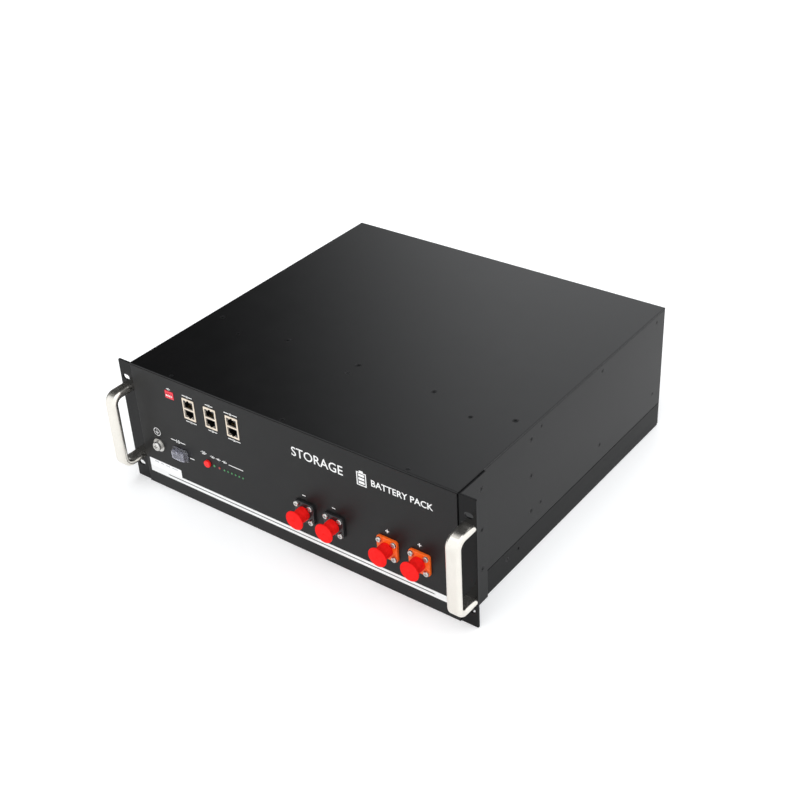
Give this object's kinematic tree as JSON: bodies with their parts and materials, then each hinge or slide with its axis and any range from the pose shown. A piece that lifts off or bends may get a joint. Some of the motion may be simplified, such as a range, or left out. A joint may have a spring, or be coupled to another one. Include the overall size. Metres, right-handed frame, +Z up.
{
  "type": "rack battery module",
  "caption": "Black steel rack battery module with bow handles, slotted ears, capped round power terminals, stacked data ports, rocker switch and cells inside.",
  "frame": {"origin": "centre of the case's base, on the surface it stands on", "axes": "+X to the right as seen from the front, +Y from the front panel to the rear, +Z up"},
  "size_m": [0.4826, 0.4513, 0.161],
  "materials": {
    "case_paint": "fine textured black powder coat, satin",
    "front_paint": "fine textured black powder coat, satin",
    "ear_paint": "fine textured black powder coat, satin",
    "inner_steel": "zinc plated sheet",
    "handle_metal": "satin, fine drawn grain",
    "black_screws": "black zinc",
    "bright_screws": "bright zinc, slightly worn",
    "port_plastic": "cream moulded plastic",
    "switch_red": "moulded, glossy",
    "slider_white": "moulded",
    "switch_black": "moulded, fine grain",
    "rocker_black": "moulded, glossy",
    "boot_clear": "soft clear plastic, smoky",
    "button_red": "moulded, glossy",
    "light_green": "clear tinted lens",
    "light_red": "clear tinted lens",
    "terminal_black": "glass-filled nylon",
    "terminal_orange": "glass-filled nylon",
    "cap_red": "soft moulded, satin",
    "copper": "bare copper bar",
    "tin_copper": "silver plated",
    "board_green": "solder mask",
    "ribbon_grey": "flat cable",
    "package_black": "moulded epoxy",
    "cell_wrap": "aluminium case in blue film",
    "pad_foam": "closed cell foam",
    "insulator": "fibre sheet",
    "fuse_body": "ceramic filled housing"
  },
  "bodies": {
    "case": {"base_tray": "case_paint", "left_side_panel": "case_paint", "right_side_panel": "case_paint", "rear_panel": "case_paint", "top_cover": "case_paint", "front_panel": "front_paint", "inner_partition": "inner_steel", "left_rack_ear": "ear_paint", "right_rack_ear": "ear_paint", "left_handle": "handle_metal", "right_handle": "handle_metal", "handle_screws": "black_screws", "ear_screws": "black_screws", "cover_screws": "black_screws", "side_screws": "black_screws", "rear_screws": "black_screws", "tray_screws": "black_screws", "comm_port_1": "port_plastic", "comm_port_2": "port_plastic", "comm_port_3": "port_plastic", "address_switch": "switch_red", "ground_bolt": "bright_screws", "ground_washers": "bright_screws", "power_switch": "switch_black", "power_switch_boot": "boot_clear", "green_lights": "light_green", "alarm_light": "light_red", "negative_terminal_1": "terminal_black", "negative_terminal_2": "terminal_black", "positive_terminal_1": "terminal_orange", "positive_terminal_2": "terminal_orange", "terminal_studs": "tin_copper", "terminal_screws": "bright_screws", "comm_board": "board_green", "board_posts": "bright_screws", "ribbon_cable": "ribbon_grey", "bms_board": "board_green", "power_transistors": "package_black", "heat_sink": "handle_metal", "battery_cells": "cell_wrap", "cell_pads": "pad_foam", "cell_links": "copper", "end_plates": "handle_metal", "compression_bands": "inner_steel", "insulator_sheets": "insulator", "main_fuse": "fuse_body", "current_shunt": "copper", "positive_bars": "copper", "negative_bars": "copper", "busbar_bolts": "bright_screws"},
    "power_rocker": {"power_rocker": "rocker_black"},
    "start_button": {"start_button": "button_red"},
    "address_slider_1": {"address_slider_1": "slider_white"},
    "dust_cap_1": {"dust_cap_1": "cap_red"},
    "address_slider_2": {"address_slider_2": "slider_white"},
    "dust_cap_2": {"dust_cap_2": "cap_red"},
    "address_slider_3": {"address_slider_3": "slider_white"},
    "dust_cap_3": {"dust_cap_3": "cap_red"},
    "address_slider_4": {"address_slider_4": "slider_white"},
    "dust_cap_4": {"dust_cap_4": "cap_red"}
  },
  "joints": [
    {"name": "power_rock", "type": "hinge", "parent": "case", "child": "power_rocker", "pos_m": [-0.1599, -0.208, 0.0598], "axis": [0, 0, 1], "range_deg": [0, 18]},
    {"name": "start_press", "type": "slide", "parent": "case", "child": "start_button", "axis": [0, 1, 0], "range_m": [0, 0.0012], "stiffness_N_per_m": 600},
    {"name": "address_set_1", "type": "slide", "parent": "case", "child": "address_slider_1", "axis": [0, 0, 1], "range_m": [0, 0.002]},
    {"name": "address_set_2", "type": "slide", "parent": "case", "child": "address_slider_2", "axis": [0, 0, 1], "range_m": [0, 0.002]},
    {"name": "address_set_3", "type": "slide", "parent": "case", "child": "address_slider_3", "axis": [0, 0, 1], "range_m": [0, 0.002]},
    {"name": "address_set_4", "type": "slide", "parent": "case", "child": "address_slider_4", "axis": [0, 0, 1], "range_m": [0, 0.002]},
    {"name": "dust_cap_1_off", "type": "slide", "parent": "case", "child": "dust_cap_1", "axis": [0, -1, 0], "range_m": [0, 0.035]},
    {"name": "dust_cap_2_off", "type": "slide", "parent": "case", "child": "dust_cap_2", "axis": [0, -1, 0], "range_m": [0, 0.035]},
    {"name": "dust_cap_3_off", "type": "slide", "parent": "case", "child": "dust_cap_3", "axis": [0, -1, 0], "range_m": [0, 0.035]},
    {"name": "dust_cap_4_off", "type": "slide", "parent": "case", "child": "dust_cap_4", "axis": [0, -1, 0], "range_m": [0, 0.035]}
  ]
}
